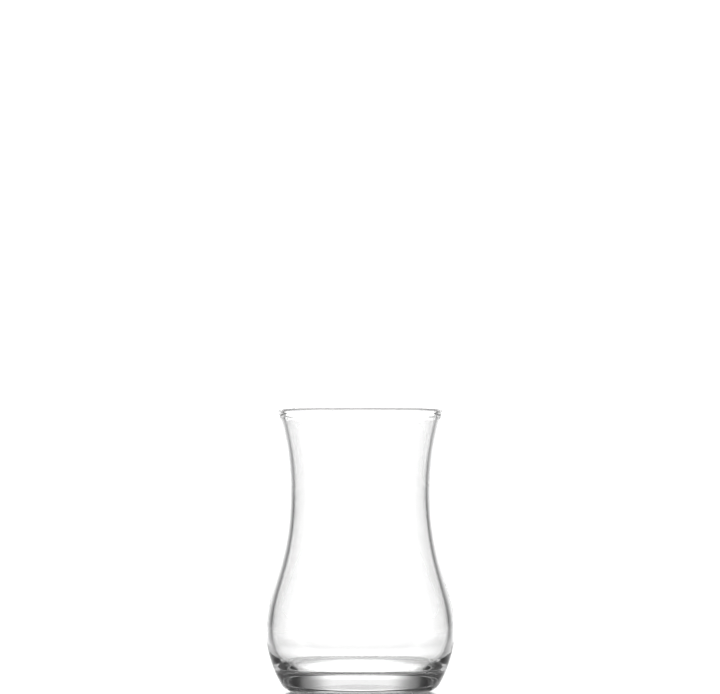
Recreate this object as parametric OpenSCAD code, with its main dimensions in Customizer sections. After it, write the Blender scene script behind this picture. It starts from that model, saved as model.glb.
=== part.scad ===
// A clear, tulip-shaped tea glass: one solid of revolution, blown from a single gob.
// The wall runs from a thick pressed foot, out round a low belly, in to a waist
// and out again to a rounded, fire-polished rim.
// The origin is on the axis, on the plane that the foot stands on. +Z is up.

/* [Overall] */
// Height from the standing plane to the top of the rim
height = 90; // [84:0.5:108]
// Outer width across the rim
rim_d = 52.4; // [48:0.1:60]

/* [Waist] */
// Outer width at the narrowest level
waist_d = 45.1; // [40:0.1:50]
// Level of the narrowest place
waist_z = 63.8; // [58:0.1:68]

/* [Belly] */
// Outer width at the widest level
belly_d = 60.6; // [58:0.1:70]
// Level of the widest place
belly_z = 20.3; // [18.5:0.1:23]

/* [Foot] */
// Width of the flat ring's outer edge, where the foot meets the table
foot_d = 43.1; // [40:0.1:46]
// Radius of the heel, which rounds the foot into the lower wall
heel_r = 4.15; // [3:0.05:5]
// Angle of the lower wall above the table where the heel ends
heel_angle = 58; // [54:1:66]
// Inner width of the flat ring, where the hollow underside begins
ring_d = 34; // [30:0.5:36]
// Height of the hollow under the foot, at the axis
kick = 0.3; // [0.2:0.05:1]

/* [Wall] */
// Thickness of the rounded bead at the rim
bead = 1.9; // [1.7:0.1:2.2]
// Thickness of the wall just under the bead
rim_wall = 1.45; // [1.3:0.05:1.8]
// Distance over which the bead fades into the wall
bead_blend = 2.5; // [2:0.5:4]
// Thickness of the wall at the waist
waist_wall = 1.6; // [1.5:0.05:2.2]
// Thickness of the wall at the belly
belly_wall = 2.2; // [2:0.1:3]
// Level at which the inside is widest
inner_belly_z = 20; // [18.5:0.1:23]

/* [Floor] */
// Thickness of the foot at the axis, over the standing plane
floor_z = 7.5; // [6.5:0.1:9]
// Glass in the lower wall at the inner corner, measured level
corner_wall = 4.4; // [4:0.05:5]
// Slope of the inner corner above the table, halfway round its turn
corner_angle = 59; // [50:1:68]

/* [Curve] */
// Lean of the wall outwards at the rim, in degrees from upright
lean = 17; // [12:1:22]
// Each pull below is a share of the height between the two ends of its curve
// Pull of the outer curve where the heel ends
heel_pull = 0.3; // [0.2:0.02:0.5]
// Pull of the curve at the belly, down and then up
belly_pull = [0.34, 0.26]; // [0.15:0.01:0.4]
// Pull of the curve at the waist, down and then up
waist_pull = [0.545, 0.4]; // [0.3:0.005:0.6]
// Pull at the rim, of the outer curve and then of the inner one
rim_pull = [0.29, 0.17]; // [0.1:0.01:0.45]
// Pull of the inner curve at the belly, down to the corner
inner_belly_pull = 0.62; // [0.5:0.01:0.8]
// Pull at the inner corner, up the wall and then out of the floor, in mm
corner_pull = [1.5, 1.6]; // [1:0.1:3]
// Pull of the floor at the axis, in mm
floor_pull = 11; // [6:0.5:14]

/* [Hidden] */

$fn = 128;
CURVE_STEPS = 16;
ARC_STEPS = 8;

rim_r = rim_d / 2;
waist_r = waist_d / 2;
belly_r = belly_d / 2;
foot_r = foot_d / 2;
ring_r = ring_d / 2;

// Unit vector at an angle from the +X axis
function unit(angle) = [cos(angle), sin(angle)];

// Point of a cubic curve with ends a and d and pulls b and c, for t from 0 to 1
function cubic_point(a, b, c, d, t) =
    pow(1 - t, 3) * a + 3 * pow(1 - t, 2) * t * b + 3 * (1 - t) * t * t * c + pow(t, 3) * d;

// Points of that curve after its first end
function cubic(a, b, c, d) =
    [for (i = [1:CURVE_STEPS]) cubic_point(a, b, c, d, i / CURVE_STEPS)];

// Points of an arc round c, from one angle to another, both ends included
function arc(c, r, from, to) =
    [for (i = [0:ARC_STEPS]) c + r * unit(from + (to - from) * i / ARC_STEPS)];

// The bead at the rim: a round edge that leans with the wall
bead_centre = [rim_r - bead / 2, height - bead / 2];
up_rim = unit(90 - lean);
across_rim = unit(-lean);
bead_outer = bead_centre + bead / 2 * across_rim;
bead_inner = bead_centre - bead / 2 * across_rim;

// Outside, from the foot's ring up to the bead
heel_centre = [foot_r, heel_r];
heel_end = heel_centre + heel_r * unit(heel_angle - 90);
belly_outer = [belly_r, belly_z];
waist_outer = [waist_r, waist_z];
low_rise = belly_z - heel_end[1];
mid_rise = waist_z - belly_z;
top_rise = bead_outer[1] - waist_z;
outside = concat(
    arc(heel_centre, heel_r, -90, heel_angle - 90),
    cubic(heel_end, heel_end + heel_pull * low_rise * unit(heel_angle),
          belly_outer - [0, belly_pull[0] * low_rise], belly_outer),
    cubic(belly_outer, belly_outer + [0, belly_pull[1] * mid_rise],
          waist_outer - [0, waist_pull[0] * mid_rise], waist_outer),
    cubic(waist_outer, waist_outer + [0, waist_pull[1] * top_rise],
          bead_outer - rim_pull[0] * top_rise * up_rim, bead_outer)
);

// Round over the rim, with a point at its top
rim_edge = concat(
    arc(bead_centre, bead / 2, -lean, 90),
    arc(bead_centre, bead / 2, 90, 180 - lean)
);

// Inside, from the bead down to the corner
under_bead = bead_outer - bead_blend * up_rim - rim_wall * across_rim;
waist_inner = waist_outer - [waist_wall, 0];
belly_inner = [belly_r - belly_wall, inner_belly_z];
low_wall_r = heel_end[0] + (floor_z - heel_end[1]) / tan(heel_angle);
corner = [low_wall_r - corner_wall, floor_z];
inside = concat(
    cubic(bead_inner, bead_inner - bead_blend / 3 * up_rim,
          under_bead + bead_blend / 3 * up_rim, under_bead),
    cubic(under_bead, under_bead - rim_pull[1] * top_rise * up_rim,
          waist_inner + [0, waist_pull[1] * top_rise], waist_inner),
    cubic(waist_inner, waist_inner - [0, waist_pull[0] * mid_rise],
          belly_inner + [0, belly_pull[1] * mid_rise], belly_inner),
    cubic(belly_inner, belly_inner - [0, inner_belly_pull * (inner_belly_z - corner[1])],
          corner + corner_pull[0] * unit(corner_angle), corner)
);

// Inner floor, from the corner in to the axis
floor_centre = [0, floor_z];
floor_top = cubic(corner, corner - corner_pull[1] * unit(corner_angle),
                  floor_centre + [floor_pull, 0], floor_centre);

// Hollow underside, from the axis out to the ring: a shallow dome
dome_r = (ring_r * ring_r + kick * kick) / (2 * kick);
dome_half_angle = asin(ring_r / dome_r);
underside = arc([0, kick - dome_r], dome_r, 90, 90 - dome_half_angle);

module glass() {
    color("aliceblue", 0.5)
        rotate_extrude()
            polygon(concat(outside, rim_edge, inside, floor_top, underside));
}

glass();
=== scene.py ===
import math

import bpy
import numpy as np
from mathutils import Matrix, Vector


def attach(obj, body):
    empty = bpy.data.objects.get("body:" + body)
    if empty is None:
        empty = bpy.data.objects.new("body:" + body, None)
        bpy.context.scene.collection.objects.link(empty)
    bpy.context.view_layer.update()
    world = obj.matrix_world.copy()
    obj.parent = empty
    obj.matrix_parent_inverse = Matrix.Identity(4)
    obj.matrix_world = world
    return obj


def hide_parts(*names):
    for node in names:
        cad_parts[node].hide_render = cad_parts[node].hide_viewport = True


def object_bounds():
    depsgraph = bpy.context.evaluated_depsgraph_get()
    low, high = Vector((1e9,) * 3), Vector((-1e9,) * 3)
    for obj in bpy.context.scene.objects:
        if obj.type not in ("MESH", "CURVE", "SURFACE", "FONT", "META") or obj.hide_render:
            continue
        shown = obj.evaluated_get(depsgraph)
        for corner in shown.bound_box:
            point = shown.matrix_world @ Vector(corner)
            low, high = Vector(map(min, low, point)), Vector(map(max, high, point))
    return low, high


# An empty, clear tea glass on a pale, glossy table, in front of a broad white backdrop with dark sides.
# The backdrop lies beyond +Y, and the camera stands beyond -Y. Lengths are in metres.

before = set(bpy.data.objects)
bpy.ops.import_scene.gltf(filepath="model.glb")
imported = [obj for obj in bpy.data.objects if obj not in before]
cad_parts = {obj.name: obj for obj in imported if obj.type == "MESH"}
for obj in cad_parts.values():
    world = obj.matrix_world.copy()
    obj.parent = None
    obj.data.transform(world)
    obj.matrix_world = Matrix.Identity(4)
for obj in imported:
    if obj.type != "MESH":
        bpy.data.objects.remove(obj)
cad_low, cad_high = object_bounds()

HEIGHT = cad_high.z - cad_low.z

# The glass's mesh
SEAM_DIGITS = 7  # decimals of a metre to which the seam's points are told apart
STRAIGHT = 1e-3  # radians: a point at which the outline turns less counts as straight
AROUND = 192  # steps round the axis
STEP = 0.00075  # longest step along the outline
RIM_STEPS = 4  # steps between the outline's points on the rim
RIM_LEVEL = 0.0878  # above which the rim's round edge lies
ON_SEAM = 1e-7  # how near to the seam's half-plane a vertex of the seam lies
# How far along the outline the blowing evens out its bends, by height: none in the pressed foot,
# and less and less towards the top of the rim
EASE_HEIGHTS = (0.0, 0.008, 0.014, 0.080, 0.086, 0.0883, 0.089, 0.090)
EASE_LENGTHS = (0.0, 0.0, 0.0025, 0.0025, 0.001, 0.0008, 0.0, 0.0)

# Waves that the blowing leaves in the inner wall: (height, turns round the axis, turns up the wall, phase)
WAVES = [
    (0.000010, 2, 1.0, 0.4),
    (0.000007, 3, -2.0, 1.9),
    (0.000004, 5, 3.0, 4.1),
]
CALM_RADIUS = 0.01  # nearer to the axis than this, the waves fade out

# Soda-lime glass
GLASS_IOR = 1.52
GLASS_DENSITY = 10.0  # absorption per metre, alike for all colours
SMUDGE_SIZE = 0.02  # of the faint variation of gloss
SMUDGE_ROUGHNESS = (0.0, 0.006)  # least and most
RIPPLE_SIZE = 0.009  # of the faint unevenness of the surface
RIPPLE_HEIGHT = 0.000002

# Table
TABLE_SIDE = 60.0
TABLE_DROP = 0.0001  # keeps the table's surface clear of the foot
TABLE_COLOUR = (0.7, 0.7, 0.7, 1.0)
TABLE_ROUGHNESS = (0.11, 0.13)
TABLE_IOR = 1.5
TABLE_GRAIN = 0.03

# Studio, as radiance against an angle in degrees. An azimuth is counted from +Y, to either side alike.
# A wide backdrop behind the glass, with a narrower one at each side and a dimmer one behind the camera
BACKDROP = [
    (0, 1.6), (14, 1.6), (18, 1.35), (22, 0.9), (25, 0.65), (28, 0.48), (32, 0.36), (36, 0.18), (38, 0.08),
    (45, 0.03), (76, 0.03), (82, 0.5), (86, 1.2), (96, 1.2), (100, 0.5), (106, 0.1), (120, 0.3),
    (155, 0.7), (180, 0.7),
]
BACKDROP_BY_HEIGHT = [(0, 1.0), (35, 1.0), (60, 0.2), (75, 0.0), (90, 0.0)]  # share, by elevation
# A brighter patch above the middle of the backdrop, which shines in the table
PATCH = [(0, 1.0), (8, 1.0), (30, 0.0), (180, 0.0)]  # share, by azimuth
PATCH_BY_HEIGHT = [(0, 0.0), (8, 0.0), (16, 2.8), (24, 2.8), (36, 0.0), (90, 0.0)]
# A soft light overhead, by elevation
TOP_LIGHT = [(0, 0.0), (45, 0.0), (60, 0.7), (90, 0.8)]

# Camera, level with the middle of the rim's bead
CAMERA_SIDE = -0.0001
CAMERA_AWAY = 1.9
CAMERA_HEIGHT = 0.08905
CAMERA_UP = math.radians(0.6143)  # above level
SENSOR = 36.0
LENS = 298.45
CLIP = (0.01, 100.0)

# Bounces of light
GLASS_BOUNCES = 24
GLOSS_BOUNCES = 16
DIFFUSE_BOUNCES = 4


def meridian(node):
    """The outline (radius, height) of a solid of revolution, from under its foot to its inner floor.

    It is walked along the mesh's edges that lie in the half-plane y = 0, x >= 0.
    """
    place = {}
    for vertex in node.data.vertices:
        x, y, z = vertex.co
        if abs(y) < ON_SEAM and x > -ON_SEAM:
            place[vertex.index] = (round(max(x, 0.0), SEAM_DIGITS), round(z, SEAM_DIGITS))
    beside = {}
    for edge in node.data.edges:
        a, b = (place.get(i) for i in edge.vertices)
        if a and b and a != b:
            beside.setdefault(a, set()).add(b)
            beside.setdefault(b, set()).add(a)
    ends = sorted((p for p in beside if len(beside[p]) == 1), key=lambda p: p[1])
    path = [ends[0]]
    before = None
    while len(path) == 1 or len(beside[path[-1]]) == 2:
        onward = beside[path[-1]] - {before}
        before = path[-1]
        path.append(onward.pop())
    return path


def turn(a, b, c):
    """The angle by which the way from a through b to c turns at b."""
    first = math.atan2(b[1] - a[1], b[0] - a[0])
    second = math.atan2(c[1] - b[1], c[0] - b[0])
    return abs(math.remainder(second - first, math.tau))


def without_straight_points(path):
    """The path without the points at which it doesn't turn."""
    kept = [b for a, b, c in zip(path, path[1:], path[2:]) if turn(a, b, c) > STRAIGHT]
    return [path[0]] + kept + [path[-1]]


def tangents(path):
    """Unit tangents at a path's points, from the parabola through each point and its neighbours.

    The path leaves the axis level at its start and comes back to it level at its end.
    """
    result = []
    for i, here in enumerate(path):
        if i == 0 or i == len(path) - 1:
            result.append((1.0, 0.0) if i == 0 else (-1.0, 0.0))
            continue
        back = math.dist(path[i - 1], here)
        ahead = math.dist(here, path[i + 1])
        slope = [
            ahead * (here[k] - path[i - 1][k]) / back + back * (path[i + 1][k] - here[k]) / ahead
            for k in (0, 1)
        ]
        length = math.hypot(*slope)
        result.append((slope[0] / length, slope[1] / length))
    return result


def rounded(path):
    """The path with smooth curves between its points, in steps no longer than STEP."""
    directions = tangents(path)
    result = [path[0]]
    for a, b, start, end in zip(path, path[1:], directions, directions[1:]):
        chord = math.dist(a, b)
        least = RIM_STEPS if min(a[1], b[1]) > RIM_LEVEL else 2
        steps = max(least, math.ceil(chord / STEP))
        for i in range(1, steps + 1):
            t = i / steps
            # The shares of a, its tangent, b and its tangent
            weights = (
                2 * t**3 - 3 * t**2 + 1,
                (t**3 - 2 * t**2 + t) * chord,
                3 * t**2 - 2 * t**3,
                (t**3 - t**2) * chord,
            )
            point = [
                sum(w * v[k] for w, v in zip(weights, (a, start, b, end))) for k in (0, 1)
            ]
            result.append((max(point[0], 0.0), max(point[1], 0.0)))
    return result


def eased(path):
    """The path with its bends evened out over EASE_LENGTHS, without shrinking its curves."""
    points = np.array(path)
    steps = np.hypot(*np.diff(points, axis=0).T)
    along = np.concatenate([[0.0], np.cumsum(steps)])
    share = np.gradient(along)
    reach = np.interp(points[:, 1], EASE_HEIGHTS, EASE_LENGTHS)
    weights = np.eye(len(points))
    for i in np.flatnonzero(reach > 0.0):
        near = share * np.exp(-0.5 * ((along - along[i]) / reach[i]) ** 2)
        weights[i] = near / near.sum()
    once = weights @ points
    return [tuple(point) for point in 2 * once - weights @ once]


def wave(angle, z):
    """How far the inner wall stands out from its true place."""
    share = min(max(z / HEIGHT, 0.0), 1.0)
    fade = math.sin(math.pi * share)
    return fade * sum(
        size * math.sin(turns * angle + math.tau * rise * share + phase)
        for size, turns, rise, phase in WAVES
    )


def ring(r, z, waved):
    """Points round the axis at a radius and a height, with the waves where asked."""
    points = []
    for k in range(AROUND):
        angle = math.tau * k / AROUND
        out = r
        if waved:
            out += wave(angle, z) * min(1.0, r / CALM_RADIUS)
        points.append((out * math.cos(angle), out * math.sin(angle), z))
    return points


def revolved(path, name):
    """A closed mesh object: the path turned round the axis, with the waves in its inner wall."""
    top = max(range(len(path)), key=lambda i: path[i][1])
    vertices = []
    rings = []
    for i, (r, z) in enumerate(path):
        first = len(vertices)
        if i in (0, len(path) - 1):
            vertices.append((0.0, 0.0, z))
            rings.append([first] * AROUND)
            continue
        vertices.extend(ring(r, z, waved=i > top))
        rings.append(list(range(first, first + AROUND)))
    faces = []
    for low, high in zip(rings, rings[1:]):
        for k in range(AROUND):
            corners = [low[k - 1], low[k], high[k], high[k - 1]]
            faces.append(list(dict.fromkeys(corners)))
    mesh = bpy.data.meshes.new(name)
    mesh.from_pydata(vertices, [], faces)
    mesh.shade_smooth()
    piece = bpy.data.objects.new(name, mesh)
    bpy.context.scene.collection.objects.link(piece)
    return piece


def new_material(name):
    """A material, its node tree and its shader."""
    material = bpy.data.materials.new(name)
    material.use_nodes = True
    return material, material.node_tree, material.node_tree.nodes["Principled BSDF"]


def noise(tree, size, detail=2.0):
    """The value of a noise texture in the object's own space, with features of the given size."""
    place = tree.nodes.new("ShaderNodeTexCoord")
    texture = tree.nodes.new("ShaderNodeTexNoise")
    texture.inputs["Scale"].default_value = 1.0 / size
    texture.inputs["Detail"].default_value = detail
    tree.links.new(place.outputs["Object"], texture.inputs["Vector"])
    return texture.outputs["Fac"]


def varied(tree, value, least, most):
    """A value from 0 to 1 brought between two ends."""
    spread = tree.nodes.new("ShaderNodeMapRange")
    spread.inputs["To Min"].default_value = least
    spread.inputs["To Max"].default_value = most
    tree.links.new(value, spread.inputs["Value"])
    return spread.outputs["Result"]


def glass_material():
    """Clear soda-lime glass, fire-polished: faint smudges in its gloss and faint ripples in its skin."""
    material, tree, shader = new_material("clear_glass")
    shader.inputs["Base Color"].default_value = (1.0, 1.0, 1.0, 1.0)
    shader.inputs["Transmission Weight"].default_value = 1.0
    shader.inputs["IOR"].default_value = GLASS_IOR
    gloss = varied(tree, noise(tree, SMUDGE_SIZE), *SMUDGE_ROUGHNESS)
    tree.links.new(gloss, shader.inputs["Roughness"])
    ripple = tree.nodes.new("ShaderNodeBump")
    ripple.inputs["Distance"].default_value = RIPPLE_HEIGHT
    tree.links.new(noise(tree, RIPPLE_SIZE, detail=0.0), ripple.inputs["Height"])
    tree.links.new(ripple.outputs["Normal"], shader.inputs["Normal"])
    tint = tree.nodes.new("ShaderNodeVolumeAbsorption")
    tint.inputs["Color"].default_value = (0.0, 0.0, 0.0, 1.0)
    tint.inputs["Density"].default_value = GLASS_DENSITY
    tree.links.new(tint.outputs["Volume"], tree.nodes["Material Output"].inputs["Volume"])
    return material


def table_material():
    """Pale lacquer with a faint grain in its gloss."""
    material, tree, shader = new_material("table")
    shader.inputs["Base Color"].default_value = TABLE_COLOUR
    shader.inputs["IOR"].default_value = TABLE_IOR
    gloss = varied(tree, noise(tree, TABLE_GRAIN), *TABLE_ROUGHNESS)
    tree.links.new(gloss, shader.inputs["Roughness"])
    return material


def make_glass():
    """The glass, which stands for the CAD solid."""
    path = eased(rounded(without_straight_points(meridian(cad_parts["glass"]))))
    piece = revolved(path, "tea_glass")
    piece.data.materials.append(glass_material())
    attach(piece, "root")
    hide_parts("glass")


def make_table():
    """The table's flat top, just under the foot."""
    half = TABLE_SIDE / 2
    corners = [(-half, -half, 0), (half, -half, 0), (half, half, 0), (-half, half, 0)]
    mesh = bpy.data.meshes.new("table")
    mesh.from_pydata(corners, [], [(0, 1, 2, 3)])
    mesh.materials.append(table_material())
    table = bpy.data.objects.new("table", mesh)
    table.location.z = cad_low.z - TABLE_DROP
    bpy.context.scene.collection.objects.link(table)


def calculate(tree, operation, *values):
    """The result of a Math node. A value is a number or a socket."""
    node = tree.nodes.new("ShaderNodeMath")
    node.operation = operation
    for socket, value in zip(node.inputs, values):
        if isinstance(value, (int, float)):
            socket.default_value = value
        else:
            tree.links.new(value, socket)
    return node.outputs["Value"]


def graded(tree, angle, stops):
    """A value that follows straight lines between (degrees, value) stops."""
    widest = stops[-1][0]
    most = max(value for _, value in stops)
    ramp = tree.nodes.new("ShaderNodeValToRGB")
    elements = ramp.color_ramp.elements
    while len(elements) < len(stops):
        elements.new(0.5)
    for element, (degrees, value) in zip(elements, stops):
        element.position = degrees / widest
        element.color = (value / most, value / most, value / most, 1.0)
    tree.links.new(calculate(tree, "DIVIDE", angle, widest), ramp.inputs["Fac"])
    return calculate(tree, "MULTIPLY", ramp.outputs["Color"], most)


def make_studio():
    """The light: a white backdrop behind the glass, narrower ones at its sides, and a soft light above."""
    world = bpy.data.worlds.new("studio")
    world.use_nodes = True
    tree = world.node_tree
    background = tree.nodes["Background"]
    background.inputs["Color"].default_value = (1.0, 1.0, 1.0, 1.0)
    direction = tree.nodes.new("ShaderNodeTexCoord")
    split = tree.nodes.new("ShaderNodeSeparateXYZ")
    tree.links.new(direction.outputs["Generated"], split.inputs["Vector"])
    x, y, z = split.outputs
    bearing = calculate(tree, "ARCTAN2", x, y)
    azimuth = calculate(tree, "ABSOLUTE", calculate(tree, "DEGREES", bearing))
    elevation = calculate(tree, "DEGREES", calculate(tree, "ARCSINE", z))
    above = calculate(tree, "MAXIMUM", elevation, 0.0)
    around = graded(tree, azimuth, BACKDROP)
    share = graded(tree, above, BACKDROP_BY_HEIGHT)
    backdrop = calculate(tree, "MULTIPLY", around, share)
    middle = graded(tree, azimuth, PATCH)
    patch = calculate(tree, "MULTIPLY", middle, graded(tree, above, PATCH_BY_HEIGHT))
    overhead = graded(tree, above, TOP_LIGHT)
    total = calculate(tree, "ADD", calculate(tree, "ADD", backdrop, patch), overhead)
    tree.links.new(total, background.inputs["Strength"])
    bpy.context.scene.world = world


def make_camera():
    """A long lens at the height of the rim, nearly level."""
    camera = bpy.data.cameras.new("camera")
    camera.sensor_fit = "HORIZONTAL"
    camera.sensor_width = SENSOR
    camera.lens = LENS
    camera.clip_start, camera.clip_end = CLIP
    holder = bpy.data.objects.new("camera", camera)
    holder.location = (CAMERA_SIDE, -CAMERA_AWAY, CAMERA_HEIGHT)
    holder.rotation_euler = (math.pi / 2 + CAMERA_UP, 0.0, 0.0)
    bpy.context.scene.collection.objects.link(holder)
    bpy.context.scene.camera = holder


def set_light_paths():
    """Enough bounces for light to cross the glass's many surfaces, and colours shown as they are."""
    scene = bpy.context.scene
    scene.cycles.max_bounces = GLASS_BOUNCES
    scene.cycles.transmission_bounces = GLASS_BOUNCES
    scene.cycles.glossy_bounces = GLOSS_BOUNCES
    scene.cycles.diffuse_bounces = DIFFUSE_BOUNCES
    scene.view_settings.view_transform = "Standard"


make_glass()
make_table()
make_studio()
make_camera()
set_light_paths()
